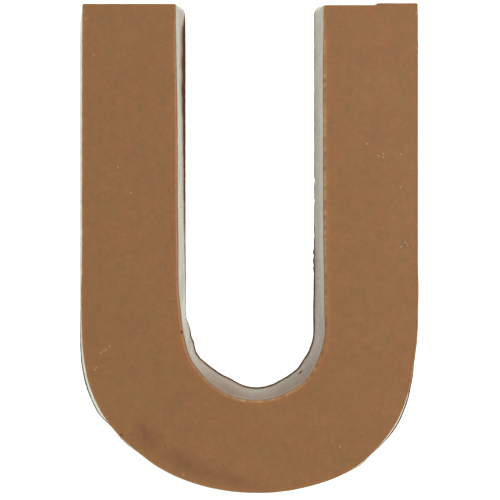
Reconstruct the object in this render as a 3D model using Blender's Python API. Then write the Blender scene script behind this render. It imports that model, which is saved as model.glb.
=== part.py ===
"""A moulded milk-chocolate letter U, lying on its back with the smooth front face up.

The letter is one solid block. The front face was the flat floor of the mould, the walls
lean outwards so that the chocolate releases, and a thin uneven ledge of flash runs round
the back edge, where the chocolate met the rim of the mould.

Sizes are in millimetres and become metres when the mesh is made. X runs across the
letter, Y from the bend to the open top, and Z up from the back to the front face. The
outlines are drawn from the face's lowest point, and the finished block is then centred.
"""

import math
from collections import namedtuple

import bmesh
import bpy
from mathutils import Matrix, Vector

MM = 0.001
NODE = "letter_u"

# Driving sizes of the front face
FACE_HEIGHT = 150.0
FACE_WIDTH = 103.2
LEFT_STEM = 29.8
RIGHT_STEM = 28.85
BOTTOM_BAR = 28.7
LOWEST_X = 2.2

# The block's depth, and how far each wall runs out between the face and the back
THICKNESS = 14.0
OUTER_LEFT_RUN = 2.15
OUTER_RIGHT_RUN = 1.8
INNER_LEFT_RUN = 1.4
INNER_RIGHT_RUN = 2.35
END_RUN = 2.1
BEND_RUN = 2.3

# Rounding of the corners at the stems' tops
FACE_OUTER_CORNER = 0.5
FACE_INNER_CORNER = 0.6
BACK_CORNER = 2.6
BACK_LEFT_INNER_CORNER = 4.2
BACK_LEFT_OUTER_CORNER = 5.5

# The ledge of flash: its height above the back, and the slight bevel of its rim
LEDGE_HEIGHT = 0.9
LEDGE_RIM = 0.25

# Widths along a wall, each at a distance from the left stem's top: of the rounding
# between the face and the wall, and of the ledge
EDGE_OUTER = ((0, 0.4), (362, 0.4))
EDGE_INNER = ((0, 0.4), (12, 0.9), (254, 0.9), (266, 0.4))
EDGE_ENDS = 0.4
FLASH_OUTER = ((0, 0.2), (90, 0.2), (110, 0.35), (190, 0.3), (240, 0.35), (260, 0.2), (366, 0.2))
FLASH_INNER = (
    (0, 0.8),
    (8, 1.35),
    (20, 1.3),
    (34, 0.95),
    (46, 0.7),
    (64, 0.55),
    (84, 0.2),
    (96, 0.15),
    (102, 0.4),
    (178, 0.35),
    (193, 0.15),
    (258, 0.15),
)
FLASH_ENDS = 0.2

# Where a wall swells out or dips in from its drawn line: the place along the wall, how
# far to each side it reaches, and its height. The mould's outline was cut by hand.
FACE_OUTER_SWELLS = (
    (72, 10, -0.1),
    (90, 9, 0.2),
    (108, 11, -0.25),
    (127, 12, 0.12),
    (143, 8, -0.25),
    (200, 16, -0.45),
    (233, 11, 0.3),
    (252, 13, -0.32),
    (274, 9, 0.15),
)
FACE_INNER_SWELLS = (
    (36, 30, 0.2),
    (72, 10, 0.1),
    (93, 9, 0.35),
    (108, 8, -0.45),
    (124, 10, 0.17),
    (150, 7, -0.35),
    (168, 9, -0.2),
)
BACK_OUTER_SWELLS = ((114, 16, 0.2), (143, 12, -0.35), (206, 20, -0.5), (238, 12, 0.45))
BACK_INNER_SWELLS = ((86, 12, 0.15), (99, 4, 0.5), (108.5, 6, -0.85), (120.5, 8, 0.45), (158, 20, 0.28))

# How finely the outlines and the walls are divided
STEM_STEPS = 14
BEND_STEPS = 34
BEND_SAMPLES = 160
END_STEPS = 5
CORNER_STEPS = 4
EDGE_STEPS = 3
WALL_STEPS = 4

# Level above every bend's start, where a stem's straight part ends
STEM_FOOT_Y = 66.0

# One side of a stem: its top, its place at the bend, its half of the bend as a quarter
# of a superellipse, which is rounder than a circle's where the power is over 2, and the
# rounding of its corner at the stem's top
Side = namedtuple("Side", "top_x top_y x bend_y power corner")
Section = namedtuple(
    "Section",
    "outer_left outer_right inner_left inner_right outer_low inner_low outer_swells inner_swells",
)

HALF_WIDTH = FACE_WIDTH / 2
GAP_LEFT = -HALF_WIDTH + LEFT_STEM
GAP_RIGHT = HALF_WIDTH - RIGHT_STEM

FACE = Section(
    outer_left=Side(-HALF_WIDTH + 0.2, FACE_HEIGHT, -HALF_WIDTH, 47.0, 2.03, FACE_OUTER_CORNER),
    outer_right=Side(HALF_WIDTH, FACE_HEIGHT + 0.2, HALF_WIDTH, 55.6, 2.41, FACE_OUTER_CORNER),
    inner_left=Side(GAP_LEFT - 0.8, FACE_HEIGHT, GAP_LEFT, 64.5, 2.3, FACE_INNER_CORNER),
    inner_right=Side(GAP_RIGHT - 0.2, FACE_HEIGHT - 0.2, GAP_RIGHT, 50.0, 2.0, FACE_INNER_CORNER),
    outer_low=0.0,
    inner_low=BOTTOM_BAR,
    outer_swells=FACE_OUTER_SWELLS,
    inner_swells=FACE_INNER_SWELLS,
)


def run_out(side, run, bend_y, power, corner):
    """The side at the back: straight, moved outwards by the wall's run, with its own bend."""
    return Side(side.x + run, side.top_y + END_RUN, side.x + run, bend_y, power, corner)


BACK = Section(
    outer_left=run_out(FACE.outer_left, -OUTER_LEFT_RUN, 47.0, 2.2, BACK_LEFT_OUTER_CORNER),
    outer_right=run_out(FACE.outer_right, OUTER_RIGHT_RUN, 55.6, 2.54, BACK_CORNER),
    inner_left=run_out(FACE.inner_left, INNER_LEFT_RUN, 56.2, 1.9, BACK_LEFT_INNER_CORNER),
    inner_right=run_out(FACE.inner_right, -INNER_RIGHT_RUN, 48.9, 1.8, BACK_CORNER),
    outer_low=FACE.outer_low - END_RUN,
    inner_low=FACE.inner_low + BEND_RUN,
    outer_swells=BACK_OUTER_SWELLS,
    inner_swells=BACK_INNER_SWELLS,
)


def resampled(points, steps):
    """The polyline cut into equal steps, both ends included."""
    reach = [0.0]
    for a, b in zip(points, points[1:]):
        reach.append(reach[-1] + math.dist(a, b))
    result = []
    leg = 0
    for step in range(steps + 1):
        target = reach[-1] * step / steps
        while leg < len(points) - 2 and reach[leg + 1] < target:
            leg += 1
        share = (target - reach[leg]) / (reach[leg + 1] - reach[leg])
        a, b = points[leg], points[leg + 1]
        result.append((a[0] + (b[0] - a[0]) * share, a[1] + (b[1] - a[1]) * share))
    return result


def half_path(side, low_y):
    """A stem's side from below its top corner to its foot, then half the bend."""
    top = (side.top_x, side.top_y - side.corner)
    slope = (side.x - side.top_x) / (side.top_y - side.bend_y)
    foot = (side.top_x + slope * (side.top_y - STEM_FOOT_Y), STEM_FOOT_Y)
    bend = [foot]
    for step in range(BEND_SAMPLES + 1):
        angle = math.pi / 2 * step / BEND_SAMPLES
        across = max(math.cos(angle), 0.0) ** (2 / side.power)
        down = math.sin(angle) ** (2 / side.power)
        bend.append((LOWEST_X + (side.x - LOWEST_X) * across, side.bend_y + (low_y - side.bend_y) * down))
    return resampled([top, foot], STEM_STEPS) + resampled(bend, BEND_STEPS)[1:]


def whole_path(left, right, low_y):
    """From the left stem's top round the bend to the right stem's top."""
    return half_path(left, low_y) + half_path(right, low_y)[-2::-1]


def stem_corner(side, inwards, turn, steps):
    """The rounded corner at a side's top, at the given steps of a quarter turn."""
    centre = (side.top_x + inwards * side.corner, side.top_y - side.corner)
    points = []
    for step in steps:
        angle = math.pi / 2 * (turn + step / CORNER_STEPS)
        points.append((centre[0] + side.corner * math.cos(angle), centre[1] + side.corner * math.sin(angle)))
    return points


def stem_end(right, left):
    """Over a stem's top, from its right side to its left, between the two rounded corners."""
    first = stem_corner(right, -1, 0, range(1, CORNER_STEPS + 1))
    last = stem_corner(left, 1, 1, range(CORNER_STEPS))
    return first + resampled([first[-1], last[0]], END_STEPS)[1:-1] + last


def joined(outer, right_end, inner, left_end):
    """The four stretches of an outline as one ring, anticlockwise seen from above."""
    return outer + right_end + inner[::-1] + left_end


def round_the_ring(section, along_outer, at_ends, along_inner):
    """A value for each point of the section's ring, from the distance along each wall."""
    values = []
    for path, along in zip(paths(section), (along_outer, along_inner)):
        reach = 0.0
        stretch = [along(reach)]
        for a, b in zip(path, path[1:]):
            reach += math.dist(a, b)
            stretch.append(along(reach))
        values.append(stretch)
    end = [at_ends] * (2 * CORNER_STEPS + END_STEPS - 1)
    return joined(values[0], end, values[1], end)


def paths(section):
    """The outer wall's line and the inner wall's, before the swells."""
    outer = whole_path(section.outer_left, section.outer_right, section.outer_low)
    inner = whole_path(section.inner_left, section.inner_right, section.inner_low)
    return outer, inner


def swelling(swells):
    """The height of a row of swells as a function of the distance along the wall."""

    def height(reach):
        total = 0.0
        for place, half, top in swells:
            total += top * (1 + math.cos(math.pi * min(abs(reach - place) / half, 1))) / 2
        return total

    return height


def outline(section):
    """The section's ring of points, with its swells."""
    outer, inner = paths(section)
    right_end = stem_end(section.outer_right, section.inner_right)
    left_end = stem_end(section.inner_left, section.outer_left)
    heights = round_the_ring(section, swelling(section.outer_swells), 0.0, swelling(section.inner_swells))
    return moved_out(joined(outer, right_end, inner, left_end), heights)


def moved_out(ring, distances):
    """Each point of the ring moved along its outward normal."""
    count = len(ring)
    result = []
    for i, (x, y) in enumerate(ring):
        before, after = ring[i - 1], ring[(i + 1) % count]
        along = (after[0] - before[0], after[1] - before[1])
        length = math.hypot(*along)
        result.append((x + along[1] / length * distances[i], y - along[0] / length * distances[i]))
    return result


def width_from(table):
    """A table of (distance, width) as a function of the distance along the wall."""

    def width(reach):
        for (a, low), (b, high) in zip(table, table[1:]):
            if reach <= b:
                return low + (high - low) * (reach - a) / (b - a)
        return table[-1][1]

    return width


def between(a, b, share):
    """The point at a share of the way from one point to another."""
    return tuple(low + (high - low) * share for low, high in zip(a, b))


def letter_rings():
    """The block as rings of points, from the front face down to the back."""
    face = outline(FACE)
    back = outline(BACK)
    radii = round_the_ring(FACE, width_from(EDGE_OUTER), EDGE_ENDS, width_from(EDGE_INNER))
    flash = round_the_ring(BACK, width_from(FLASH_OUTER), FLASH_ENDS, width_from(FLASH_INNER))
    foot = moved_out(back, [-width for width in flash])
    rings = []
    for step in range(EDGE_STEPS + 1):
        angle = math.pi / 2 * step / EDGE_STEPS
        inset = moved_out(face, [-radius * (1 - math.sin(angle)) for radius in radii])
        drops = [radius * (1 - math.cos(angle)) for radius in radii]
        rings.append([(x, y, THICKNESS - drop) for (x, y), drop in zip(inset, drops)])
    for step in range(1, WALL_STEPS + 1):
        share = step / WALL_STEPS
        rings.append([between(top, (*low, LEDGE_HEIGHT), share) for top, low in zip(rings[EDGE_STEPS], foot)])
    rings.append([(x, y, LEDGE_HEIGHT - LEDGE_RIM) for x, y in back])
    rings.append([(x, y, 0.0) for x, y in back])
    return rings


def lofted(name, rings):
    """A closed mesh through the rings, capped at both ends and shaded smooth."""
    shape = bmesh.new()
    levels = [[shape.verts.new(Vector(point) * MM) for point in ring] for ring in rings]
    count = len(levels[0])
    for upper, lower in zip(levels, levels[1:]):
        for i in range(count):
            j = (i + 1) % count
            shape.faces.new((upper[i], lower[i], lower[j], upper[j]))
    shape.faces.new(levels[0])
    shape.faces.new(levels[-1][::-1])
    mesh = bpy.data.meshes.new(name)
    shape.to_mesh(mesh)
    shape.free()
    mesh.shade_smooth()
    mesh.set_sharp_from_angle(angle=math.radians(35))
    return mesh


def centred(mesh):
    """Moves the mesh so that its box is centred on the origin and stands on Z = 0."""
    low = [min(v.co[axis] for v in mesh.vertices) for axis in range(3)]
    high = [max(v.co[axis] for v in mesh.vertices) for axis in range(3)]
    mesh.transform(Matrix.Translation((-(low[0] + high[0]) / 2, -(low[1] + high[1]) / 2, -low[2])))


def milk_chocolate():
    material = bpy.data.materials.new("milk_chocolate")
    material.use_nodes = True
    shader = material.node_tree.nodes["Principled BSDF"]
    shader.inputs["Base Color"].default_value = (0.24, 0.11, 0.05, 1.0)
    shader.inputs["Roughness"].default_value = 0.38
    shader.inputs["Metallic"].default_value = 0.0
    shader.inputs["IOR"].default_value = 1.5
    return material


def clear_scene():
    for obj in list(bpy.data.objects):
        bpy.data.objects.remove(obj)


def main():
    clear_scene()
    collection = bpy.data.collections.new("chocolate_letter")
    bpy.context.scene.collection.children.link(collection)
    mesh = lofted(NODE, letter_rings())
    centred(mesh)
    mesh.materials.append(milk_chocolate())
    collection.objects.link(bpy.data.objects.new(NODE, mesh))


main()
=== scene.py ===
"""The looks of a moulded milk-chocolate letter U that lies on its back, smooth face up.

One dense mesh stands for the plain solid. Its outlines come from the same named sizes as
the solid's, and it adds what moulding leaves on the surface: rounded edges, a ragged
ledge of flash, ripples in the walls, pits, bubbles, specks and a scraped back. Some of its
colour is painted light: shade in the pits, on the flash and partly on the walls, and highlights
along the edges and on a few specks.

Sizes are in millimetres and become metres when the mesh is made. X runs across the
letter, Y from the bend to the open top, and Z up from the back to the front face. The
outlines are drawn from the face's lowest point, and the finished mesh is then centred.

A distance along a wall is counted from the left stem's top, round the bend, to the
right stem's top. Outwards means away from the chocolate, on the inner wall too.
"""

import math
from collections import namedtuple

import bmesh
import bpy
import numpy as np
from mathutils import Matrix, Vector, kdtree, noise


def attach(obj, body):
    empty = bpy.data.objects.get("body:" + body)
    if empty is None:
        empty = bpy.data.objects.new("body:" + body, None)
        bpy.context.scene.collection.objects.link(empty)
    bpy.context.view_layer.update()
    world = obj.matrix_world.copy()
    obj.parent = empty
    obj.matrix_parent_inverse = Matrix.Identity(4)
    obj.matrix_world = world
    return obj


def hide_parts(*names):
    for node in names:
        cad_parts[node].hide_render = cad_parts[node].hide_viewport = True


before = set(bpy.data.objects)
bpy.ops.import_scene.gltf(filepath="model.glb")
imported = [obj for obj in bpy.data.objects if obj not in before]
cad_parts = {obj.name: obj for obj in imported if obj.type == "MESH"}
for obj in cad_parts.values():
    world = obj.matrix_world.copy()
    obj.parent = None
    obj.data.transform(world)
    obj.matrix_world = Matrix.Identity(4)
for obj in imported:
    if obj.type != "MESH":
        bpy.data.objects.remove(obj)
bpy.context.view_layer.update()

MM = 0.001
NODE = "letter_u"

# Driving sizes of the front face, where the bends are lowest, and the letter's depth
FACE_HEIGHT = 150.0
FACE_WIDTH = 103.2
LEFT_STEM = 29.8
RIGHT_STEM = 28.85
BOTTOM_BAR = 28.7
LOWEST_X = 2.2
THICKNESS = 14.0

# How far to the right of its foot the top of each side of the face lies
OUTER_LEFT_TILT = 0.2
INNER_LEFT_TILT = -0.8
INNER_RIGHT_TILT = -0.2

# How far the right stem's end lies above the face's height at the outer side, and below it at
# the inner side
RIGHT_END_SLOPE = 0.2

# How far each wall runs out between the face and the back
OUTER_LEFT_RUN = 2.15
OUTER_RIGHT_RUN = 1.8
INNER_LEFT_RUN = 1.4
INNER_RIGHT_RUN = 2.35
END_RUN = 2.1
BEND_RUN = 2.3

# Half of a bend: the height at which it starts, and the power that shapes it. A power of 2 is
# round, and a higher one is squarer.
Bend = namedtuple("Bend", "start power")

OUTER_LEFT_BEND = Bend(47.0, 2.03)
OUTER_RIGHT_BEND = Bend(55.6, 2.41)
INNER_LEFT_BEND = Bend(64.5, 2.3)
INNER_RIGHT_BEND = Bend(50.0, 2.0)
BACK_OUTER_LEFT_BEND = Bend(47.0, 2.2)
BACK_OUTER_RIGHT_BEND = Bend(55.6, 2.54)
BACK_INNER_LEFT_BEND = Bend(56.2, 1.9)
BACK_INNER_RIGHT_BEND = Bend(48.9, 1.8)

# Rounding of the corners at the stems' tops
FACE_OUTER_CORNER = 0.5
FACE_INNER_CORNER = 0.6
BACK_CORNER = 2.6
BACK_LEFT_INNER_CORNER = 3.4
BACK_LEFT_OUTER_CORNER = 5.5

# The ledge of flash: its height above the back, and how far its top falls to its rim
LEDGE_HEIGHT = 0.9
LEDGE_FALL = 0.25

# The back's edge: how far it lies inside the rim at each height
BACK_EDGE = 0.12
BACK_EDGE_MIDDLE = 0.3 * BACK_EDGE
BACK_TURN = ((0.0, BACK_EDGE), (BACK_EDGE_MIDDLE, BACK_EDGE_MIDDLE), (BACK_EDGE, 0.0))

# Width of the rounding between the face and the wall, at distances along each wall
EDGE_OUTER = ((0, 0.4), (362, 0.4))
EDGE_INNER = (
    (0, 0.4),
    (12, 0.95),
    (95, 1.0),
    (110, 1.2),
    (165, 1.2),
    (192, 1.3),
    (252, 1.25),
    (266, 0.4),
)
EDGE_ENDS = 0.4

# How far the rounding's outer line lies outside the face's drawn edge
EDGE_OUT_OUTER = (
    (0, 0.0),
    (6, 0.08),
    (90, 0.08),
    (110, 0.0),
    (232, 0.0),
    (246, 0.24),
    (256, 0.24),
    (268, 0.12),
    (355, 0.12),
    (366, 0.0),
)
EDGE_OUT_INNER = ((0, 0.0), (182, 0.0), (196, 0.22), (250, 0.22), (260, 0.0))

# How hollow a wall is: its slope gains this share at the foot and loses it at the face
HOLLOW_OUTER = ((0, 0.0), (8, 0.6), (92, 0.6), (125, 0.0), (366, 0.0))
HOLLOW_INNER = ((0, 0.0), (152, 0.0), (178, 0.3), (250, 0.28), (262, 0.0))

# How much less steep the bend's wall is towards the face than a straight wall, and how far to
# each side of the bend's middle
BEND_LEAN = 0.6
BEND_REACH = 70.0

# Width of the ledge of flash
FLASH_OUTER = (
    (0, 0.05),
    (88, 0.05),
    (104, 0.35),
    (190, 0.35),
    (210, 0.5),
    (248, 0.5),
    (262, 0.1),
    (366, 0.1),
)
FLASH_INNER = (
    (0, 0.12),
    (2, 0.4),
    (5, 0.75),
    (8, 0.92),
    (14, 1.05),
    (20, 1.05),
    (34, 0.87),
    (46, 0.6),
    (64, 0.4),
    (84, 0.12),
    (96, 0.08),
    (102, 0.38),
    (178, 0.35),
    (193, 0.1),
    (258, 0.1),
)
FLASH_ENDS = 0.1

# How far the flash's rim lies outside the back's drawn outline on the inner wall, and inside it
# on the outer wall and the ends
SPREAD_INNER = ((0, 0.0), (8, 0.1), (185, 0.1), (198, 0.0), (266, 0.0))
INSET = 0.01

# Where a wall swells out or dips in from its drawn line: the place along the wall, how far to
# each side it reaches, and its height. A negative place counts back from the right stem's top.
FACE_OUTER_SWELLS = (
    (72, 10, -0.1),
    (90, 9, 0.2),
    (108, 11, -0.25),
    (127, 12, 0.12),
    (143, 8, -0.25),
    (200, 16, -0.45),
    (233, 11, 0.3),
    (252, 13, -0.32),
    (274, 9, 0.15),
    (-13, 3, 0.09),
)
FACE_INNER_SWELLS = (
    (36, 30, 0.2),
    (72, 10, 0.1),
    (93, 9, 0.35),
    (108, 8, -0.45),
    (124, 10, 0.17),
    (150, 7, -0.35),
    (168, 9, -0.2),
)
BACK_OUTER_SWELLS = ((114, 16, 0.2), (143, 12, -0.35), (206, 20, -0.5), (238, 12, 0.45))
BACK_INNER_SWELLS = (
    (86, 12, 0.15),
    (99, 4, 0.5),
    (108.5, 6, -0.85),
    (120.5, 8, 0.45),
    (158, 20, 0.28),
)

# Dips and lumps of a wall that grow from nothing at its top to their full size at the flash,
# written like swells. Where the outer foot dips, the face hides it from above.
OUTER_FOOT = (
    (132.5, 9.5, -1.25),
    (143, 8.5, -1.05),
    (151.5, 9, -0.95),
    (162, 9, -0.6),
    (-109, 8, -0.45),
    (-122, 5, 0.15),
    (-142, 8, -0.35),
    (-144.3, 5, -0.2),
)
INNER_FOOT = (
    (103.6, 2.6, 0.24),
    (110.2, 5, 0.2),
    (115.4, 3.2, 0.13),
    (120.5, 4.5, 0.2),
    (137.8, 3.2, 0.18),
    (144.4, 3, -0.22),
    (147.6, 2.4, 0.08),
    (-103, 12, -0.15),
    (-52.5, 0.9, -0.3),
    (-59.0, 0.8, -0.28),
    (-70.0, 0.8, -0.2),
    (-75.4, 0.8, 0.42),
    (-78.1, 1.6, 0.3),
    (-80.7, 1.1, 0.25),
)

# How far along the inner wall the right stem starts. From there on they grow only in the lowest
# part of the wall, from this share of the way down and over this share of it.
STEM_START = 175.0
LOW_NOTCH_START = 0.85
LOW_NOTCH_REACH = 0.15

# The small step in the right stem's end
STEP_X = 38.7
STEP_REACH = 0.5

# How much higher than drawn the face's edge is at the stems' ends, except left of that step, and
# from how far below the end it rises
END_RISE = 0.2
END_RISE_START = 1.5

# How finely the outlines, the stems' ends and the walls are divided
STEM_STEPS = 120
BEND_STEPS = 135
BEND_SAMPLES = 2400
CORNER_STEPS = 4
END_STEPS = 40
EDGE_STEPS = 6
WALL_STEPS = 14
RIM_STEPS = 3
ALONG = 2 * (CORNER_STEPS + STEM_STEPS + BEND_STEPS)
ACROSS = 2 * CORNER_STEPS + END_STEPS

# Level above every bend's start, where a stem's straight part ends
STEM_FOOT_Y = 66.0

# How far a stem's end shapes the rows of points behind it
END_BLEND = 16.0

# Smooth lumps in a surface: their size, along each axis where it differs, the place in the noise
# where they start, and their height. The height is a share of the width of the flash, of the wear
# and painted highlight, or of the stain for the lumps in those.
Lumps = namedtuple("Lumps", "size start height")

RIM_NICKS = Lumps(1.1, 4.3, 0.06)
RIM_WAVES = Lumps(3.2, 9.1, 0.09)
FLASH_LUMPS = Lumps(4.0, 2.7, 0.2)
EDGE_CHIPS = Lumps(2.6, 1.7, 0.07)
WEAR_AND_GLINT_LUMPS = Lumps(1.5, 6.1, 1.8)
WALL_RIPPLES = Lumps((5.0, 5.0, 9.0), 3.1, 0.035)
WALL_LINES = Lumps((1.6, 1.6, 12.0), 7.7, 0.02)
FACE_BROAD = Lumps(24.0, 5.2, 0.05)
FACE_FINE = Lumps(4.5, 8.4, 0.012)
BACK_BROAD = Lumps(18.0, 6.6, 0.12)
BACK_SCRAPES = Lumps((9.0, 2.6), 2.2, 0.03)
STAIN_LUMPS = Lumps(2.4, 3.9, 0.6)
STAIN_MEAN = 0.8

# How many rows in from the edge the face and the back take to reach their full relief
RELIEF_ROWS = 6

# Over which part of the rounding the face's look turns into the wall's
WALL_LOOK_START = 0.15
WALL_LOOK_REACH = 0.8

# How much lighter tan each wall's edge is painted, and on which step of the rounding, counted from
# the face, it is strongest. It stands for wear, and for a painted highlight where the rounding
# catches the light.
WEAR_AND_GLINT_INNER = (
    (0, 0.15),
    (88, 0.1),
    (104, 0.05),
    (118, 0.15),
    (128, 0.3),
    (152, 0.3),
    (162, 0.15),
    (182, 0.3),
    (194, 0.6),
    (245, 0.55),
    (266, 0.35),
)
WEAR_AND_GLINT_OUTER = ((0, 0.5), (90, 0.55), (120, 0.4), (180, 0.15), (250, 0.1), (366, 0.15))
WEAR_AND_GLINT_ENDS = 0.2
WEAR_AND_GLINT_STEP = 2.2
WEAR_AND_GLINT_REACH = 2.4

# The face's edge and its rounding are painted a little lighter and warmer, a painted highlight:
# full so near to it, and gone so much further in
EDGE_HIGHLIGHT_FULL = 0.35
EDGE_HIGHLIGHT_FADE = 1.0

# Bubbles in the back, where it was scraped level: how many, how far from the edge, how many
# places are drawn for each, and the seed of the draws
BACK_BUBBLES = 22
BACK_BUBBLE_MARGIN = 7
BACK_BUBBLE_TRIES = 3
BACK_BUBBLE_SEED = 11

# Their smallest and largest radius, their depth as a share of it, and how much shade is painted in
# them
BACK_BUBBLE_RADII = (0.5, 1.3)
BACK_BUBBLE_DEPTH = 0.45
BACK_BUBBLE_SHADE = 0.35

# The back's points are those between the table and this height
BACK_TOP = 0.3

# The mesh is divided further round each mark: so many cuts, in a patch that reaches so many radii
# and so much more from its middle
MARK_CUTS = 3
MARK_PATCH = 1.2
MARK_MARGIN = 0.3

# The mesh's three finishes, in the order of its materials
MOULDED = 0
FLASH = 1
SCRAPED = 2

# Colours as the shader takes them, in linear light
FACE_BROWN = (0.201, 0.088, 0.0245, 1.0)
FACE_RED = (0.214, 0.084, 0.0255, 1.0)
# The walls' brown is darker than the face's: partly the glossier moulded finish, partly painted
# shade on the steep walls
WALL_BROWN = (0.122, 0.058, 0.02, 1.0)
# The flash's browns are darker than the face's: painted shade at the wall's foot, deepest at the
# flash's rim
FLASH_SHADED_BROWN = (0.1, 0.042, 0.02, 1.0)
FLASH_RIM_SHADE = (0.056, 0.015, 0.006, 1.0)
BACK_BROWN = (0.17, 0.075, 0.028, 1.0)
BACK_PALE = (0.2, 0.094, 0.038, 1.0)
# Painted shade in pits, holes and scratches, where shade falls in them
PIT_SHADE_BROWN = (0.026, 0.006, 0.003, 1.0)
# Crumb, also used for painted glints on the right stem's edges and the bubble's lip
CRUMB_AND_GLINT_TAN = (0.58, 0.36, 0.2, 1.0)
# Lighter tan of wear on the edges, also a painted highlight along them
WEAR_AND_GLINT_TAN = (0.43, 0.248, 0.107, 1.0)
# Painted highlight along the face's edge
EDGE_HIGHLIGHT_TINT = (1.1, 1.01, 0.84, 1.0)
STAIN_TINT = (0.8, 0.66, 0.6, 1.0)

FACE_ROUGHNESS = 0.45
WALL_ROUGHNESS = 0.3
FLASH_ROUGHNESS = 0.6
BACK_ROUGHNESS = 0.62
CHOCOLATE_IOR = 1.5
FLASH_SPECULAR = 0.12
BACK_SPECULAR = 0.35

# The fine bloom on moulded chocolate, as sheen
BLOOM_WEIGHT = 0.8
BLOOM_ROUGHNESS = 0.2
BLOOM_TINT = (0.82, 1.0, 0.88, 1.0)

# A pattern in a material: the size of its lumps in millimetres, and the noise's detail and
# roughness
Pattern = namedtuple("Pattern", "size detail roughness")

GRAIN = Pattern(0.9, 3.0, 0.7)
MOTTLE = Pattern(3.0, 3.0, 0.6)
CLOUD = Pattern(14.0, 2.0, 0.5)
HUE = Pattern(6.0, 5.0, 0.65)
STREAK = Pattern(1.0, 2.0, 0.4)
SCRAPE = Pattern(1.0, 3.0, 0.5)

# How much each of the first three lightens or darkens the colour
SHADES = ((GRAIN, 0.5), (MOTTLE, 0.26), (CLOUD, 0.16))

# Size of the walls' streaks round the letter and in height, and of the back's scrapes in X, Y
# and Z. The place is divided by it, so those two patterns have a size of 1.
STREAK_SIZE = (7.0, 4.0)
SCRAPE_SIZE = (8.0, 4.5, 8.0)

# The values of the noise at which a mix of two colours starts and ends
HUE_RANGE = (0.35, 0.65)
SCRAPE_RANGE = (0.3, 0.75)

# How much the walls' streaks change the roughness, and the noise's mean, where they don't
STREAK_ROUGHNESS = 0.2
NOISE_MEAN = 0.5

# Strength and depth in millimetres of the fine relief that is only shaded
STREAK_BUMP = (0.1, 0.06)
MOULDED_BUMP = (0.3, 0.04)
FLASH_BUMP = (0.5, 0.08)
SCRAPE_BUMP = (0.2, 0.15)
BACK_BUMP = (0.3, 0.05)

# The white table, in metres: how far it reaches, how far it lies below the letter, and its looks
FLOOR_REACH = 6.0
FLOOR_GAP = 0.02 * MM
FLOOR_WHITE = (0.85, 0.85, 0.83, 1.0)
FLOOR_ROUGHNESS = 0.9
FLOOR_GLOW_COLOUR = (1.0, 1.0, 0.96, 1.0)
FLOOR_GLOW = 0.68

# The white surroundings: their colour, and their strength up to the horizon and straight above
SKY_WHITE = (0.975, 1.0, 0.92, 1.0)
SKY_LOW = 1.28
SKY_HIGH = 0.8

# The soft lights: name, place and size in metres, and power in watts
SOFT_LIGHTS = (
    ("right_softbox", (0.34, 0.05, 0.32), 0.28, 0.82),
    ("far_softbox", (0.1, 0.9, 0.7), 0.6, 2.0),
)

# The camera looks straight down. Its place is the photograph's middle in the part's frame.
CAMERA_X = 0.265
CAMERA_Y = -0.51
CAMERA_ABOVE_FACE = 398.0
VIEW_WIDTH = 153.28
SENSOR = 36.0
NEAREST_SEEN = 10.0

# A side of a section: its top, where it stands when its half of the bend starts, that half, and
# the rounding of its top corner
Side = namedtuple("Side", "top_x top_y x bend corner")

# A section of the letter: its sides, the lowest points of its two bends, and its swells
Section = namedtuple(
    "Section",
    "outer_left outer_right inner_left inner_right outer_low inner_low outer_swells inner_swells",
)


def tilted(x, tilt, top_y, bend, corner):
    """A side of the face, with its top moved by the tilt."""
    return Side(x + tilt, top_y, x, bend, corner)


def run_out(side, run, bend, corner):
    """The side at the back: straight, moved by the wall's run, with its own bend."""
    return Side(side.x + run, side.top_y + END_RUN, side.x + run, bend, corner)


HALF_WIDTH = FACE_WIDTH / 2
GAP_LEFT = -HALF_WIDTH + LEFT_STEM
GAP_RIGHT = HALF_WIDTH - RIGHT_STEM
OUTER_TOP = FACE_HEIGHT + RIGHT_END_SLOPE
INNER_TOP = FACE_HEIGHT - RIGHT_END_SLOPE

FACE = Section(
    outer_left=tilted(
        -HALF_WIDTH, OUTER_LEFT_TILT, FACE_HEIGHT, OUTER_LEFT_BEND, FACE_OUTER_CORNER
    ),
    outer_right=tilted(HALF_WIDTH, 0.0, OUTER_TOP, OUTER_RIGHT_BEND, FACE_OUTER_CORNER),
    inner_left=tilted(GAP_LEFT, INNER_LEFT_TILT, FACE_HEIGHT, INNER_LEFT_BEND, FACE_INNER_CORNER),
    inner_right=tilted(GAP_RIGHT, INNER_RIGHT_TILT, INNER_TOP, INNER_RIGHT_BEND, FACE_INNER_CORNER),
    outer_low=0.0,
    inner_low=BOTTOM_BAR,
    outer_swells=FACE_OUTER_SWELLS,
    inner_swells=FACE_INNER_SWELLS,
)
BACK = Section(
    outer_left=run_out(
        FACE.outer_left, -OUTER_LEFT_RUN, BACK_OUTER_LEFT_BEND, BACK_LEFT_OUTER_CORNER
    ),
    outer_right=run_out(FACE.outer_right, OUTER_RIGHT_RUN, BACK_OUTER_RIGHT_BEND, BACK_CORNER),
    inner_left=run_out(
        FACE.inner_left, INNER_LEFT_RUN, BACK_INNER_LEFT_BEND, BACK_LEFT_INNER_CORNER
    ),
    inner_right=run_out(FACE.inner_right, -INNER_RIGHT_RUN, BACK_INNER_RIGHT_BEND, BACK_CORNER),
    outer_low=FACE.outer_low - END_RUN,
    inner_low=FACE.inner_low + BEND_RUN,
    outer_swells=BACK_OUTER_SWELLS,
    inner_swells=BACK_INNER_SWELLS,
)

# A small mark: its place, its radius, how deep it is, how much painted shade darkens it, and how
# much lighter it is painted: crumb on most marks, a painted glint on a few. One with a negative
# depth stands up.
Mark = namedtuple("Mark", "x y z radius depth dark pale")


def on_face(places, radius, depth, dark=0.0, pale=0.0):
    """The same mark at several places on the front face."""
    return [Mark(x, y, THICKNESS, radius, depth, dark, pale) for x, y in places]


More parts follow.
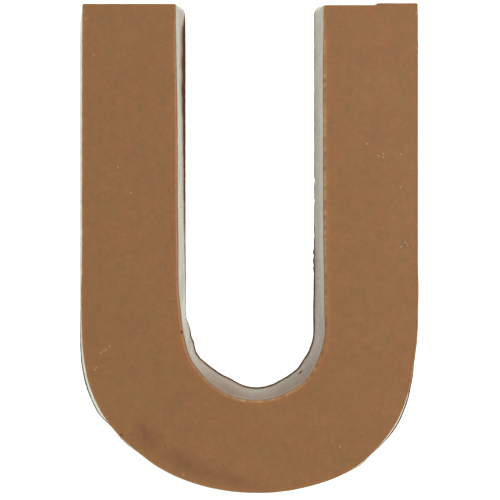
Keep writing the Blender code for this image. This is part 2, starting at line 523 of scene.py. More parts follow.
# Pinholes where air sat in the mould, and shallow scuffs: place, radius, depth and darkness. The
# darkness is painted shade in the hollow.
FACE_HOLES = [
    Mark(x, y, THICKNESS, radius, depth, dark, 0.0)
    for x, y, radius, depth, dark in (
        (-42.2, 119.3, 0.46, 0.22, 0.6),
        (-39.4, 17.9, 0.43, 0.5, 1.0),
        (-20.8, 49.4, 0.6, 0.55, 1.0),
        (51.0, 50.7, 0.38, 0.3, 0.8),
        (48.8, 34.7, 0.4, 0.25, 0.6),
        (-3.6, 26.8, 0.5, 0.16, 0.38),
        (-26.1, 14.3, 0.5, 0.2, 0.5),
        (-30.3, 16.2, 0.38, 0.15, 0.35),
        (-36.2, 17.7, 0.44, 0.15, 0.4),
        (-8.3, 8.5, 0.46, 0.2, 0.45),
        (39.5, 78.7, 0.6, 0.16, 0.36),
        (3.2, 25.4, 0.38, 0.12, 0.3),
        (-28.2, 40.4, 0.4, 0.12, 0.25),
    )
]

# Specks of tan crumb on the face and along its edges. The specks on the right stem's edges are
# painted glints where the edge catches the light.
SPECK_RADIUS = 0.42
CRUMB_AND_GLINT_PLACES = (
    (-50.3, 145.4),
    (-47.9, 134.5),
    (-42.9, 45.1),
    (-44.0, 44.1),
    (-44.7, 43.7),
    (-45.7, 43.1),
    (-47.0, 38.6),
    (-47.5, 37.9),
    (27.7, 14.2),
    (-40.4, 100.0),
    (-36.4, 92.1),
    (36.0, 107.1),
    (39.4, 103.5),
    (41.0, 104.1),
    (41.0, 103.0),
    (46.4, 104.0),
    (46.2, 93.9),
    (-20.4, 5.8),
    (51.2, 147.1),
    (51.4, 136.5),
    (23.1, 60.2),
    (22.9, 74.9),
    (22.9, 73.7),
    (19.6, 38.5),
    (12.4, 31.3),
    (11.3, 30.2),
    (7.4, 28.8),
    (23.2, 59.0),
)
FAINT_CRUMB_PLACES = (
    (28.7, 148.2),
    (28.6, 142.2),
    (31.9, 130.6),
    (36.5, 126.7),
    (29.1, 13.4),
    (25.4, 15.9),
    (31.2, 11.9),
)
CRUMBS_AND_GLINTS = on_face(CRUMB_AND_GLINT_PLACES, SPECK_RADIUS, depth=0.03, pale=0.5)
CRUMBS_AND_GLINTS += on_face(FAINT_CRUMB_PLACES, SPECK_RADIUS, depth=0.02, pale=0.2)

# A cluster of scratches on the right stem, with painted shade in them and tan crumb between them
CLUSTER_RADIUS = 0.36
CLUSTER_HOLES = ((46.6, 77.2), (48.3, 77.3), (46.4, 76.1), (47.6, 76.1), (48.4, 75.6), (49.1, 75.6))
CLUSTER_CRUMBS = ((47.7, 76.9), (46.5, 75.6), (48.3, 76.0))
CLUSTER = on_face(CLUSTER_HOLES, CLUSTER_RADIUS, depth=0.15, dark=0.55)
CLUSTER += on_face(CLUSTER_CRUMBS, CLUSTER_RADIUS, depth=-0.04, pale=0.55)

# Pits in the inner walls, with painted shade in them
WALL_MARKS = (
    Mark(-21.1, 88.1, 5.5, 0.75, 0.15, 0.6, 0.0),
    Mark(21.1, 65.8, 4.5, 0.75, 0.15, 0.6, 0.0),
    Mark(-21.2, 101.0, 7.0, 0.6, 0.1, 0.25, 0.0),
    Mark(22.0, 111.0, 8.0, 0.6, 0.1, 0.3, 0.0),
)

# A burst bubble in the bend's wall, with painted shade in it, and a raised lip below it that is
# painted lighter as a painted highlight
BUBBLE = (
    Mark(16.3, 35.55, 5.4, 0.85, 0.7, 1.0, 0.0),
    Mark(16.8, 36.0, 6.0, 0.75, 0.6, 1.0, 0.0),
    Mark(16.0, 35.9, 3.9, 0.8, -0.08, 0.0, 0.9),
)

# A soft stain: its middle, half its length and breadth, how its length is turned, its strength
Stain = namedtuple("Stain", "x y long short degrees strength")

STAINS = (
    Stain(-31.2, 17.2, 8.0, 4.6, -50.0, 1.0),
    Stain(-19.8, 9.4, 13.0, 4.2, -30.0, 0.95),
    Stain(-6.5, 4.6, 10.0, 3.4, -14.0, 0.8),
    Stain(-23.8, 80.5, 4.8, 0.7, 90.0, 0.6),
    Stain(32.6, 84.1, 2.8, 1.8, 0.0, 0.45),
    Stain(48.0, 76.4, 2.6, 1.8, -20.0, 0.4),
)


def bell(distance, reach):
    """A raised cosine: 1 at no distance, 0 from the reach on."""
    return (1 + np.cos(math.pi * np.clip(np.abs(distance) / reach, 0.0, 1.0))) / 2


def smooth(share):
    """A share from 0 to 1 with a soft start and end."""
    share = np.clip(share, 0.0, 1.0)
    return share * share * (3 - 2 * share)


def noise_at(points, lumps):
    """Smooth noise between about -1 and 1 at each point."""
    scaled = np.asarray(points) / np.asarray(lumps.size) + lumps.start
    if scaled.shape[1] == 2:
        scaled = np.column_stack((scaled, np.full(len(scaled), lumps.start)))
    return np.array([noise.noise(Vector(point)) for point in scaled])


def waves(points, lumps):
    """Lumps that go up and down by their height."""
    return lumps.height * noise_at(points, lumps)


def humps(points, lumps, power=1):
    """Lumps that rise from nothing to their height. A higher power leaves more of it low."""
    return lumps.height * (0.5 + 0.5 * noise_at(points, lumps)) ** power


def lengths(points):
    """The distance along a polyline at each of its points."""
    legs = np.linalg.norm(np.diff(points, axis=0), axis=1)
    return np.concatenate(([0.0], np.cumsum(legs)))


def resampled(points, steps):
    """The polyline cut into equal steps, both ends included."""
    reach = lengths(points)
    targets = np.linspace(0.0, reach[-1], steps + 1)
    return np.column_stack([np.interp(targets, reach, points[:, axis]) for axis in range(2)])


def half_path(side, low_y):
    """A stem's side from below its top corner to its foot, then half the bend."""
    top = np.array((side.top_x, side.top_y - side.corner))
    slope = (side.x - side.top_x) / (side.top_y - side.bend.start)
    foot = np.array((side.top_x + slope * (side.top_y - STEM_FOOT_Y), STEM_FOOT_Y))
    angles = np.linspace(0.0, math.pi / 2, BEND_SAMPLES + 1)
    across = np.clip(np.cos(angles), 0.0, 1.0) ** (2 / side.bend.power)
    down = np.sin(angles) ** (2 / side.bend.power)
    x = LOWEST_X + (side.x - LOWEST_X) * across
    y = side.bend.start + (low_y - side.bend.start) * down
    bend = np.vstack((foot, np.column_stack((x, y))))
    return np.vstack((np.linspace(top, foot, STEM_STEPS + 1), resampled(bend, BEND_STEPS)[1:]))


def whole_path(left, right, low_y):
    """From the left stem's top round the bend to the right stem's top."""
    return np.vstack((half_path(left, low_y), half_path(right, low_y)[-2::-1]))


def corner_arc(side, inwards, turns):
    """Points of the rounded corner at a side's top, at the given shares of a full turn."""
    centre = np.array((side.top_x + inwards * side.corner, side.top_y - side.corner))
    angles = 2 * math.pi * np.asarray(turns)
    return centre + side.corner * np.column_stack((np.cos(angles), np.sin(angles)))


def along_line(left, right, low_y, inwards):
    """A wall's line with half of the rounded corner at each end."""
    start, end = (3 / 8, 1 / 2) if inwards > 0 else (1 / 8, 0.0)
    first = corner_arc(left, inwards, np.linspace(start, end, CORNER_STEPS + 1)[:-1])
    last = corner_arc(right, -inwards, 1 / 2 - np.linspace(end, start, CORNER_STEPS + 1)[1:])
    return np.vstack((first, whole_path(left, right, low_y), last))


def end_line(right, left):
    """Over a stem's top, from its right side to its left, with half of each rounded corner."""
    first = corner_arc(right, -1, np.linspace(1 / 8, 1 / 4, CORNER_STEPS + 1))
    last = corner_arc(left, 1, np.linspace(1 / 4, 3 / 8, CORNER_STEPS + 1))
    flat = np.linspace(first[-1], last[0], END_STEPS + 1)
    return np.vstack((first, flat[1:-1], last))


def stepped(line):
    """The right stem's end, which rises in one small step instead of a slope."""
    flat = slice(CORNER_STEPS, -CORNER_STEPS)
    x, y = line[flat, 0], line[flat, 1]
    share = np.clip((x - STEP_X) / STEP_REACH + 0.5, 0.0, 1.0)
    line[flat, 1] = y[-1] + (y[0] - y[-1]) * share
    return line


def joined(outer, right_end, inner, left_end):
    """Four stretches that share their end points as one ring, anticlockwise seen from above."""
    return np.concatenate((outer, right_end[1:-1], inner[::-1], left_end[1:-1]))


def swelling(swells, reach):
    """The summed height of a row of swells at each distance along a wall."""
    length = reach[-1 - CORNER_STEPS]
    total = np.zeros_like(reach)
    for place, half, top in swells:
        middle = place if place > 0 else length + place
        total += top * bell(reach - middle, half)
    return total


def outward(ring):
    """The outward normal at each point of a ring."""
    along = np.roll(ring, -1, axis=0) - np.roll(ring, 1, axis=0)
    normal = np.column_stack((along[:, 1], -along[:, 0]))
    return normal / np.linalg.norm(normal, axis=1, keepdims=True)


def moved_out(ring, distances):
    """Each point of the ring moved along its outward normal, by one distance or its own."""
    return ring + outward(ring) * np.reshape(distances, (-1, 1))


class Outline:
    """A section's ring of points, and the distance along each wall at those points."""

    def __init__(self, section):
        outer = along_line(section.outer_left, section.outer_right, section.outer_low, 1)
        inner = along_line(section.inner_left, section.inner_right, section.inner_low, -1)
        right_end = end_line(section.outer_right, section.inner_right)
        if section is FACE:
            right_end = stepped(right_end)
        left_end = end_line(section.inner_left, section.outer_left)
        self.outer_reach = lengths(outer) - lengths(outer)[CORNER_STEPS]
        self.inner_reach = lengths(inner) - lengths(inner)[CORNER_STEPS]
        swells = self.swells(section.outer_swells, section.inner_swells)
        self.points = moved_out(joined(outer, right_end, inner, left_end), swells)

    def values(self, on_outer, at_ends, on_inner):
        """A value for each point of the ring, from its values on the three kinds of wall."""
        end = np.full(ACROSS + 1, at_ends)
        return joined(on_outer, end, on_inner, end)

    def swells(self, outer_swells, inner_swells):
        """The height of the swells at each point of the ring. The ends have none."""
        on_outer = swelling(outer_swells, self.outer_reach)
        return self.values(on_outer, 0.0, swelling(inner_swells, self.inner_reach))

    def widths(self, outer_table, at_ends, inner_table):
        """A value for each point of the ring, from tables of (distance, value)."""
        on_outer = np.interp(self.outer_reach, *zip(*outer_table))
        on_inner = np.interp(self.inner_reach, *zip(*inner_table))
        return self.values(on_outer, at_ends, on_inner)


class Levels:
    """Rings down the wall, and how far each point is wall, ledge, or wear with a painted glint."""

    def __init__(self):
        self.points = []
        self.wall = []
        self.ledge = []
        self.worn = []

    def add(self, flat, height, wall=1.0, ledge=0.0, worn=0.0):
        """Adds a ring, with one height and one of each other value, or one for each point."""
        none = np.zeros(len(flat))
        self.points.append(np.column_stack((flat, none + height)))
        self.wall.append(none + wall)
        self.ledge.append(none + ledge)
        self.worn.append(none + worn)


def raised_ends(ring):
    """The face's edge with its stems' ends raised."""
    near = smooth(ring[:, 1] - (FACE_HEIGHT - END_RISE_START))
    left_of_step = (ring[:, 0] > 0) & (ring[:, 0] < STEP_X)
    return ring + np.column_stack((np.zeros(len(ring)), END_RISE * near * ~left_of_step))


def edge_levels(levels, face):
    """Adds the rounding from the face's edge to the top of the wall."""
    edge_out = face.widths(EDGE_OUT_OUTER, 0.0, EDGE_OUT_INNER)
    top = raised_ends(moved_out(face.points, edge_out - np.abs(waves(face.points, EDGE_CHIPS))))
    radii = face.widths(EDGE_OUTER, EDGE_ENDS, EDGE_INNER)
    # A lighter tan band on the rounding: wear, and a painted highlight where the edge catches the
    # light
    worn = face.widths(WEAR_AND_GLINT_OUTER, WEAR_AND_GLINT_ENDS, WEAR_AND_GLINT_INNER)
    worn = np.clip(worn * (1 + waves(face.points, WEAR_AND_GLINT_LUMPS)), 0.0, 1.0)
    for step in range(EDGE_STEPS + 1):
        angle = math.pi / 2 * step / EDGE_STEPS
        flat = moved_out(top, -radii * (1 - math.sin(angle)))
        height = THICKNESS - radii * (1 - math.cos(angle))
        wall = smooth((step / EDGE_STEPS - WALL_LOOK_START) / WALL_LOOK_REACH)
        levels.add(flat, height, wall=wall, worn=worn * bell(step - WEAR_AND_GLINT_STEP, WEAR_AND_GLINT_REACH))


def bend_share(reach):
    """How much of the bend there is at each distance along a wall: 1 at its middle."""
    return bell(reach - reach[len(reach) // 2], BEND_REACH)


def rippled(ring, share):
    """A ring of the wall seen flat, with the soft ripples that the cooling chocolate took."""
    fade = math.sin(math.pi * share) ** 0.5 if share < 1 else 0.0
    return moved_out(ring[:, :2], fade * (waves(ring, WALL_RIPPLES) + waves(ring, WALL_LINES)))


def side_levels(levels, face, notches, foot):
    """Adds the wall from the rounding down to the ledge, with its hollows and its notches."""
    upper = levels.points[-1]
    lower = np.column_stack((foot, np.full(len(foot), LEDGE_HEIGHT)))
    lean = BEND_LEAN * face.values(bend_share(face.outer_reach), 0.0, bend_share(face.inner_reach))
    lean = (lean - face.widths(HOLLOW_OUTER, 0.0, HOLLOW_INNER)).reshape(-1, 1)
    everywhere = np.ones(len(face.outer_reach), bool)
    tall = face.values(everywhere, True, face.inner_reach < STEM_START)
    for step in range(1, WALL_STEPS + 1):
        share = step / WALL_STEPS
        across = share + lean * share * (1 - share)
        flat = upper[:, :2] + (lower[:, :2] - upper[:, :2]) * across
        low = smooth((share - LOW_NOTCH_START) / LOW_NOTCH_REACH)
        flat = moved_out(flat, notches * np.where(tall, share, low))
        height = upper[:, 2] + (lower[:, 2] - upper[:, 2]) * share
        levels.add(rippled(np.column_stack((flat, height)), share), height)


def ledge_levels(levels, rim):
    """Adds the ledge of flash from the wall's foot to its rim, and its turn to the back."""
    start = levels.points[-1][:, :2]
    for step in range(1, RIM_STEPS + 1):
        share = step / RIM_STEPS
        height = LEDGE_HEIGHT - LEDGE_FALL * share**2
        levels.add(start * (1 - share) + rim * share, height, ledge=share)
    for inset, height in BACK_TURN:
        levels.add(moved_out(rim, -inset), height, ledge=1.0)


def wall_levels(face, back):
    """Rings of points from the face's edge down the wall and over the ledge to the back."""
    notches = back.swells(OUTER_FOOT, INNER_FOOT)
    spread = back.widths(((0, -INSET), (1, -INSET)), -INSET, SPREAD_INNER)
    nicks = np.abs(waves(back.points, RIM_NICKS) + waves(back.points, RIM_WAVES))
    rim = moved_out(back.points, notches + spread - nicks)
    flash = back.widths(FLASH_OUTER, FLASH_ENDS, FLASH_INNER)
    foot = moved_out(back.points, spread - flash * (1 + waves(back.points, FLASH_LUMPS)))
    levels = Levels()
    edge_levels(levels, face)
    side_levels(levels, face, notches, foot)
    ledge_levels(levels, rim)
    return levels


def sheet(ring):
    """A flat stretch of points that fills a ring, as rows along the letter, columns across it."""
    outer = ring[: ALONG + 1]
    right = ring[ALONG : ALONG + ACROSS + 1]
    inner = ring[ALONG + ACROSS : 2 * ALONG + ACROSS + 1][::-1]
    left = np.vstack((ring[2 * ALONG + ACROSS :], ring[:1]))[::-1]
    reach = lengths(outer)
    share = (reach / reach[-1]).reshape(-1, 1)
    left_share = lengths(left) / lengths(left)[-1]
    right_share = lengths(right) / lengths(right)[-1]
    across = left_share * (1 - share) + right_share * share
    points = outer[:, None] + (inner - outer)[:, None] * across[:, :, None]
    near_left = np.clip(1 - reach / END_BLEND, 0.0, 1.0) ** 2
    near_right = np.clip(1 - (reach[-1] - reach) / END_BLEND, 0.0, 1.0) ** 2
    points = points + near_left[:, None, None] * (left - points[0])[None]
    return points + near_right[:, None, None] * (right - points[-1])[None]


def filling(ring):
    """The points inside a ring, seen flat."""
    return sheet(ring[:, :2])[1:-1, 1:-1].reshape(-1, 2)


def rows_inside():
    """How many rows each point of a filling is from the nearest edge."""
    along = np.arange(1, ALONG)
    across = np.arange(1, ACROSS)
    rows = np.minimum(along, along[::-1])
    columns = np.minimum(across, across[::-1])
    return np.minimum(rows[:, None], columns[None]).ravel()


def sheet_indices(ring_start, inside_start):
    """The vertex numbers of a sheet: its ring's round the edge, and new ones inside."""
    index = np.empty((ALONG + 1, ACROSS + 1), int)
    index[:, 0] = ring_start + np.arange(ALONG + 1)
    index[ALONG] = ring_start + ALONG + np.arange(ACROSS + 1)
    index[:, ACROSS] = ring_start + ALONG + ACROSS + np.arange(ALONG + 1)[::-1]
    index[0, 1:ACROSS] = ring_start + 2 * ALONG + ACROSS + np.arange(1, ACROSS)[::-1]
    inside = (ALONG - 1) * (ACROSS - 1)
    index[1:ALONG, 1:ACROSS] = inside_start + np.arange(inside).reshape(ALONG - 1, ACROSS - 1)
    return index


def quads_of(index):
    """The faces of a sheet, turned up."""
    corners = (index[:-1, :-1], index[1:, :-1], index[1:, 1:], index[:-1, 1:])
    return np.stack([corner.ravel() for corner in corners], axis=1)


def belt(start, count):
    """The faces between the ring whose vertices start here and the ring below it."""
    here = start + np.arange(count)
    beside = np.roll(here, -1)
    return np.column_stack((here, here + count, beside + count, beside))


def distance_to(ring, points):
    """How far each point is from the nearest point of a ring."""
    tree = kdtree.KDTree(len(ring))
    for number, (x, y) in enumerate(ring):
        tree.insert((x, y, 0.0), number)
    tree.balance()
    return np.array([tree.find((x, y, 0.0))[2] for x, y in points])


def stained(points):
    """How stained the face is at each point."""
    total = np.zeros(len(points))
    strengths = STAIN_MEAN + waves(points, STAIN_LUMPS)
    for stain in STAINS:
        turn = math.radians(stain.degrees)
        x, y = points[:, 0] - stain.x, points[:, 1] - stain.y
        along = (x * math.cos(turn) + y * math.sin(turn)) / stain.long
        beside = (y * math.cos(turn) - x * math.sin(turn)) / stain.short
        total += stain.strength * bell(np.hypot(along, beside), 1.0) * strengths
    return np.clip(total, 0.0, 1.0)


def store(mesh, name, *stretches):
    """Keeps a value for each vertex as an attribute that the materials read."""
    layer = mesh.attributes.new(name, "FLOAT", "POINT")
    layer.data.foreach_set("value", np.concatenate(stretches).astype(np.float32))


def store_looks(mesh, levels, face):
    """Keeps what the materials read: for the rings, then inside the face, then inside the back."""
    edge = levels.points[0][:, :2]
    count, rings = len(edge), len(levels.points)
    none = np.zeros(len(face))
    store(mesh, "wall", *levels.wall, none, none)
    store(mesh, "ledge", *levels.ledge, none, none)
    store(mesh, "worn", *levels.worn, none, none)
    # The rim value: a painted highlight on the rounding and close to the face's edge
    rounding = np.repeat((1.0, 0.0), (count * (EDGE_STEPS + 1), count * (rings - EDGE_STEPS - 1)))
    near = 1 - smooth((distance_to(edge, face) - EDGE_HIGHLIGHT_FULL) / EDGE_HIGHLIGHT_FADE)
    store(mesh, "rim", rounding, near, none)
    store(mesh, "stain", np.zeros(count * rings), stained(face), none)
    store(mesh, "around", np.tile(lengths(edge), rings), none, none)


def letter_mesh(name):
    """The whole letter as one closed mesh, with its finishes and its surface's values."""
    levels = wall_levels(Outline(FACE), Outline(BACK))
    face, back = filling(levels.points[0]), filling(levels.points[-1])
    soft = smooth(rows_inside() / RELIEF_ROWS)
    sunk = humps(face, FACE_BROAD) + humps(face, FACE_FINE)
    lifted = humps(back, BACK_BROAD, power=2) + humps(back, BACK_SCRAPES)
    insides = (
        np.column_stack((face, THICKNESS - sunk * soft)),
        np.column_stack((back, lifted * soft)),
    )
    points = np.vstack((*levels.points, *insides))
    count = len(levels.points[0])
    walls = count * len(levels.points)
    faces = [quads_of(sheet_indices(0, walls))]
    faces.append(quads_of(sheet_indices(walls - count, walls + len(face)))[:, ::-1])
    faces += [belt(start, count) for start in range(0, walls - count, count)]
    mesh = bpy.data.meshes.new(name)
    mesh.from_pydata((points * MM).tolist(), [], np.vstack(faces).tolist())
    finishes = [MOULDED] * len(faces[0]) + [SCRAPED] * len(faces[1])
    finishes += [MOULDED] * (count * (EDGE_STEPS + WALL_STEPS))
    finishes += [FLASH] * (len(mesh.polygons) - len(finishes))
    mesh.polygons.foreach_set("material_index", finishes)
    store_looks(mesh, levels, face)
    return mesh


def vectors(collection, name):
    """One of the vectors of each item in a mesh's collection, as rows."""
    flat = np.empty(len(collection) * 3, dtype=np.float32)
    collection.foreach_get(name, flat)
    return flat.reshape(-1, 3).astype(float)


def positions(mesh):
    """The mesh's vertices in millimetres."""
    return vectors(mesh.vertices, "co") / MM


def directions(mesh):
    """The outward direction at each vertex."""
    return vectors(mesh.vertex_normals, "vector")


def move_to(mesh, points):
    """Moves the mesh's vertices to places in millimetres."""
    mesh.vertices.foreach_set("co", np.asarray(points * MM, dtype=np.float32).ravel())


def refine(mesh, marks):
    """Divides the mesh's faces near each mark, which is finer than the grid."""
    centres = vectors(mesh.polygons, "center") / MM
    chosen = np.zeros(len(centres), bool)
    for mark in marks:
        away = np.abs(centres - (mark.x, mark.y, mark.z)).max(axis=1)
        chosen |= away < mark.radius * MARK_PATCH + MARK_MARGIN
    shape = bmesh.new()
    shape.from_mesh(mesh)
    shape.faces.ensure_lookup_table()
    near = [shape.faces[number] for number in np.flatnonzero(chosen)]
    wanted = {edge.index for face in near for edge in face.edges}
    edges = [edge for edge in shape.edges if edge.index in wanted]
    bmesh.ops.subdivide_edges(shape, edges=edges, cuts=MARK_CUTS, use_grid_fill=True)
    shape.to_mesh(mesh)
    shape.free()
    mesh.update()


def back_bubbles(mesh):
    """Shallow round holes at seeded places well inside the back."""
    points = positions(mesh)
    backs = np.flatnonzero((points[:, 2] < BACK_TOP) & (points[:, 2] > 0.0))
    draw = np.random.default_rng(BACK_BUBBLE_SEED)
    drawn = draw.choice(backs, BACK_BUBBLES * BACK_BUBBLE_TRIES, replace=False)
    clear = distance_to(Outline(BACK).points, points[drawn, :2]) > BACK_BUBBLE_MARGIN
    places = points[drawn][clear][:BACK_BUBBLES]
    bubbles = []
    for place, radius in zip(places, draw.uniform(*BACK_BUBBLE_RADII, len(places))):
        bubbles.append(Mark(*place, radius, radius * BACK_BUBBLE_DEPTH, BACK_BUBBLE_SHADE, 0.0))
    return bubbles


def settled(mesh, marks):
    """The marks with each moved straight onto the surface that is nearest to it."""
    points, normals = positions(mesh), directions(mesh)
    moved = []
    for mark in marks:
        place = np.array((mark.x, mark.y, mark.z))
        nearest = np.argmin(((points - place) ** 2).sum(axis=1))
        place += normals[nearest] * np.dot(points[nearest] - place, normals[nearest])
        moved.append(mark._replace(x=place[0], y=place[1], z=place[2]))
    return moved


def press_marks(mesh):
    """Sinks or raises each mark in the surface, and notes its painted shade and lightening."""
    marks = [*FACE_HOLES, *CRUMBS_AND_GLINTS, *CLUSTER, *WALL_MARKS, *back_bubbles(mesh), *BUBBLE]
    marks = settled(mesh, marks)
    refine(mesh, marks)
    points = positions(mesh)
    moved = np.zeros(len(points))
    dark = np.zeros(len(points))
    pale = np.zeros(len(points))
    for mark in marks:
        share = bell(np.linalg.norm(points - (mark.x, mark.y, mark.z), axis=1), mark.radius)
        moved -= mark.depth * share
        dark = np.maximum(dark, mark.dark * share)
        pale = np.maximum(pale, mark.pale * share)
    points += directions(mesh) * moved[:, None]
    points[:, 2] = np.clip(points[:, 2], 0.0, THICKNESS)
    move_to(mesh, points)
    store(mesh, "dark", dark)
    store(mesh, "pale", pale)


def centre(mesh, back):
    """Moves the mesh to where the solid stands: its box's middle over the origin, on Z = 0."""
    middle = (back.points.min(axis=0) + back.points.max(axis=0)) / 2
    move_to(mesh, positions(mesh) - (*middle, 0.0))


class Nodes:
    """Small helpers for building a material's node tree."""

    def __init__(self, name):
        self.material = bpy.data.materials.new(name)
        self.material.use_nodes = True
        self.tree = self.material.node_tree
        self.shader = self.tree.nodes["Principled BSDF"]

    def put(self, value, socket):
        """Links an output to the socket, or sets a plain value there."""
        if isinstance(value, bpy.types.NodeSocket):
            self.tree.links.new(value, socket)
        else:
            socket.default_value = value

    def give(self, name, value):
        """Links an output or sets a plain value on the shader's socket of that name."""
        self.put(value, self.shader.inputs[name])

    def value(self, name):
        """A value that the mesh keeps for each vertex."""
        node = self.tree.nodes.new("ShaderNodeAttribute")
        node.attribute_name = name
        return node.outputs["Fac"]

    def place(self, stretch=(1.0, 1.0, 1.0)):
        """The place on the letter in millimetres, divided by the stretch along each axis."""
        node = self.tree.nodes.new("ShaderNodeTexCoord")
        mapping = self.tree.nodes.new("ShaderNodeMapping")
        mapping.inputs["Scale"].default_value = [1 / (MM * size) for size in stretch]
        self.tree.links.new(node.outputs["Object"], mapping.inputs["Vector"])
        return mapping.outputs["Vector"]

    def wall_place(self, along, up):
        """The place on the wall: the way round the letter and the height, each divided."""
        height = self.tree.nodes.new("ShaderNodeSeparateXYZ")
        self.tree.links.new(self.place(), height.inputs["Vector"])
        both = self.tree.nodes.new("ShaderNodeCombineXYZ")
        self.put(self.math("DIVIDE", self.value("around"), along), both.inputs["X"])
        self.put(self.math("DIVIDE", height.outputs["Z"], up), both.inputs["Y"])
        return both.outputs["Vector"]

    def grey(self, light):
        """A colour with the same value in all its channels."""
        node = self.tree.nodes.new("ShaderNodeCombineColor")
        for socket in node.inputs:
            self.put(light, socket)
        return node.outputs["Color"]

    def noise(self, place, pattern):
        """Noise from 0 to 1 in a pattern."""
        node = self.tree.nodes.new("ShaderNodeTexNoise")
        node.inputs["Scale"].default_value = 1 / pattern.size
        node.inputs["Detail"].default_value = pattern.detail
        node.inputs["Roughness"].default_value = pattern.roughness
        self.tree.links.new(place, node.inputs["Vector"])
        return node.outputs["Fac"]

    def math(self, operation, first, second, third=0.0):
        """One operation on two or three values."""
        node = self.tree.nodes.new("ShaderNodeMath")
        node.operation = operation
        for value, socket in zip((first, second, third), node.inputs):
            self.put(value, socket)
        return node.outputs["Value"]

    def stretched(self, value, low, high):
        """The value moved from its range to the range from 0 to 1, and kept inside it."""
        node = self.tree.nodes.new("ShaderNodeMapRange")
        node.inputs["From Min"].default_value = low
        node.inputs["From Max"].default_value = high
        self.put(value, node.inputs["Value"])
        return node.outputs["Result"]

    def mix(self, share, first, second, blend="MIX"):
        """One colour mixed with another by a share."""
        node = self.tree.nodes.new("ShaderNodeMix")
        node.data_type = "RGBA"
        node.blend_type = blend
        self.put(share, node.inputs["Factor"])
        self.put(first, node.inputs["A"])
        self.put(second, node.inputs["B"])
        return node.outputs["Result"]

    def tinted(self, share, colour, tint):
        """The colour multiplied by a tint where the share is 1."""
        return self.mix(share, colour, self.mix(1.0, colour, tint, "MULTIPLY"))

    def bump(self, height, strength, depth, normal=None):
        """Fine shaded relief of a depth in millimetres, on top of another where one is given."""
        node = self.tree.nodes.new("ShaderNodeBump")
        node.inputs["Strength"].default_value = strength
        node.inputs["Distance"].default_value = depth * MM
        self.put(height, node.inputs["Height"])
        if normal is not None:
            self.put(normal, node.inputs["Normal"])
        return node.outputs["Normal"]


def uneven(nodes, colour):
    """The colour made lighter and darker by fine grain, soft mottle and wide clouds."""
    place = nodes.place()
    noises = [nodes.noise(place, pattern) for pattern, _ in SHADES]
    light = 1 - sum(depth for _, depth in SHADES) / 2
    for value, (_, depth) in zip(noises, SHADES):
        light = nodes.math("MULTIPLY_ADD", value, depth, light)
    return nodes.mix(1.0, colour, nodes.grey(light), "MULTIPLY"), noises[0]


def marked(nodes, colour):
    """The colour with the crumbs and painted glints, and the painted shade in the holes."""
    colour = nodes.mix(nodes.value("pale"), colour, CRUMB_AND_GLINT_TAN)
    # Painted shade in the holes
    return nodes.mix(nodes.value("dark"), colour, PIT_SHADE_BROWN)


def moulded_chocolate():
    """Satin on the face and glossier on the walls, where the mould's side was polished."""
    nodes = Nodes("milk_chocolate_moulded")
    wall = nodes.value("wall")
    hue = nodes.stretched(nodes.noise(nodes.place(), HUE), *HUE_RANGE)
    # Painted highlight along the face's edge, then the stains
    face = nodes.tinted(nodes.value("rim"), nodes.mix(hue, FACE_BROWN, FACE_RED), EDGE_HIGHLIGHT_TINT)
    face = nodes.tinted(nodes.value("stain"), face, STAIN_TINT)
    # The walls take the darker brown, partly painted shade
    colour = nodes.mix(wall, face, WALL_BROWN)
    # A lighter tan on the edge's rounding: wear, and a painted highlight along the edges
    colour = nodes.mix(nodes.value("worn"), colour, WEAR_AND_GLINT_TAN)
    colour, grain = uneven(nodes, colour)
    nodes.give("Base Color", marked(nodes, colour))
    streak = nodes.noise(nodes.wall_place(*STREAK_SIZE), STREAK)
    streak = nodes.math("MULTIPLY", nodes.math("SUBTRACT", streak, NOISE_MEAN), wall)
    rough = nodes.math("MULTIPLY_ADD", wall, WALL_ROUGHNESS - FACE_ROUGHNESS, FACE_ROUGHNESS)
    nodes.give("Roughness", nodes.math("MULTIPLY_ADD", streak, STREAK_ROUGHNESS, rough))
    nodes.give("Normal", nodes.bump(grain, *MOULDED_BUMP, nodes.bump(streak, *STREAK_BUMP)))
    nodes.give("IOR", CHOCOLATE_IOR)
    nodes.give("Sheen Weight", BLOOM_WEIGHT)
    nodes.give("Sheen Roughness", BLOOM_ROUGHNESS)
    nodes.give("Sheen Tint", BLOOM_TINT)
    return nodes.material


def flash_chocolate():
    """The thin film that ran out under the mould's rim, darkened towards its rim as painted shade.
    """
    nodes = Nodes("milk_chocolate_flash")
    # Painted shade: darker brown across the ledge towards its rim
    colour = nodes.mix(nodes.value("ledge"), FLASH_SHADED_BROWN, FLASH_RIM_SHADE)
    colour, grain = uneven(nodes, colour)
    nodes.give("Base Color", colour)
    nodes.give("Normal", nodes.bump(grain, *FLASH_BUMP))
    nodes.give("Roughness", FLASH_ROUGHNESS)
    nodes.give("Specular IOR Level", FLASH_SPECULAR)
    return nodes.material


def scraped_chocolate():
    """The back, dull and streaked by the scraper that levelled it."""
    nodes = Nodes("milk_chocolate_scraped")
    scrape = nodes.noise(nodes.place(SCRAPE_SIZE), SCRAPE)
    colour = nodes.mix(nodes.stretched(scrape, *SCRAPE_RANGE), BACK_BROWN, BACK_PALE)
    colour, grain = uneven(nodes, colour)
    nodes.give("Base Color", marked(nodes, colour))
    nodes.give("Normal", nodes.bump(grain, *BACK_BUMP, nodes.bump(scrape, *SCRAPE_BUMP)))
    nodes.give("Roughness", BACK_ROUGHNESS)
    nodes.give("Specular IOR Level", BACK_SPECULAR)
    return nodes.material


def letter():
    """The dressed letter, which stands for the plain solid."""
    mesh = letter_mesh("letter_u_surface")
    press_marks(mesh)
    centre(mesh, Outline(BACK))
    mesh.shade_smooth()
    for finish in (moulded_chocolate(), flash_chocolate(), scraped_chocolate()):
        mesh.materials.append(finish)
    piece = bpy.data.objects.new("letter_u_surface", mesh)
    bpy.context.scene.collection.objects.link(piece)
    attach(piece, "root")
    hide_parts(NODE)


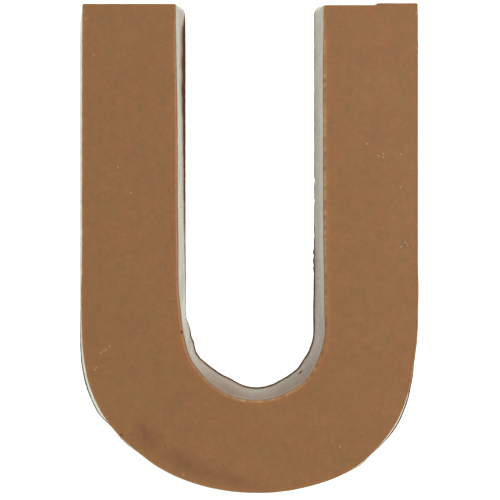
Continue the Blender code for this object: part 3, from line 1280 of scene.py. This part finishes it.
def studio_floor():
    """A white table that glows a little, as under a product photograph, so that it stays white."""
    mesh = bpy.data.meshes.new("floor")
    corners = ((-FLOOR_REACH, -FLOOR_REACH), (FLOOR_REACH, -FLOOR_REACH))
    corners += ((FLOOR_REACH, FLOOR_REACH), (-FLOOR_REACH, FLOOR_REACH))
    mesh.from_pydata([(x, y, -FLOOR_GAP) for x, y in corners], [], [(0, 1, 2, 3)])
    floor = bpy.data.objects.new("floor", mesh)
    bpy.context.scene.collection.objects.link(floor)
    nodes = Nodes("white_table")
    nodes.give("Base Color", FLOOR_WHITE)
    nodes.give("Roughness", FLOOR_ROUGHNESS)
    nodes.give("Emission Color", FLOOR_GLOW_COLOUR)
    nodes.give("Emission Strength", FLOOR_GLOW)
    mesh.materials.append(nodes.material)


def studio_world():
    """White walls all round and a dimmer ceiling, where the camera and its stand are."""
    world = bpy.data.worlds.new("studio")
    world.use_nodes = True
    tree = world.node_tree
    background = tree.nodes["Background"]
    background.inputs["Color"].default_value = SKY_WHITE
    direction = tree.nodes.new("ShaderNodeTexCoord")
    split = tree.nodes.new("ShaderNodeSeparateXYZ")
    strength = tree.nodes.new("ShaderNodeMapRange")
    strength.inputs["To Min"].default_value = SKY_LOW
    strength.inputs["To Max"].default_value = SKY_HIGH
    tree.links.new(direction.outputs["Generated"], split.inputs["Vector"])
    tree.links.new(split.outputs["Z"], strength.inputs["Value"])
    tree.links.new(strength.outputs["Result"], background.inputs["Strength"])
    bpy.context.scene.world = world


def soft_light(name, place, size, power):
    """A square soft light that faces the letter."""
    light = bpy.data.lights.new(name, "AREA")
    light.size = size
    light.energy = power
    lamp = bpy.data.objects.new(name, light)
    lamp.location = place
    lamp.rotation_euler = (-Vector(place)).to_track_quat("-Z", "Y").to_euler()
    bpy.context.scene.collection.objects.link(lamp)


def camera():
    """The camera, straight above the face."""
    data = bpy.data.cameras.new("camera")
    data.sensor_width = SENSOR
    data.lens = SENSOR * CAMERA_ABOVE_FACE / VIEW_WIDTH
    data.clip_start = NEAREST_SEEN * MM
    view = bpy.data.objects.new("camera", data)
    view.location = (CAMERA_X * MM, CAMERA_Y * MM, (THICKNESS + CAMERA_ABOVE_FACE) * MM)
    bpy.context.scene.collection.objects.link(view)
    bpy.context.scene.camera = view


bpy.context.scene.view_settings.view_transform = "Standard"
letter()
studio_floor()
studio_world()
for soft in SOFT_LIGHTS:
    soft_light(*soft)
camera()
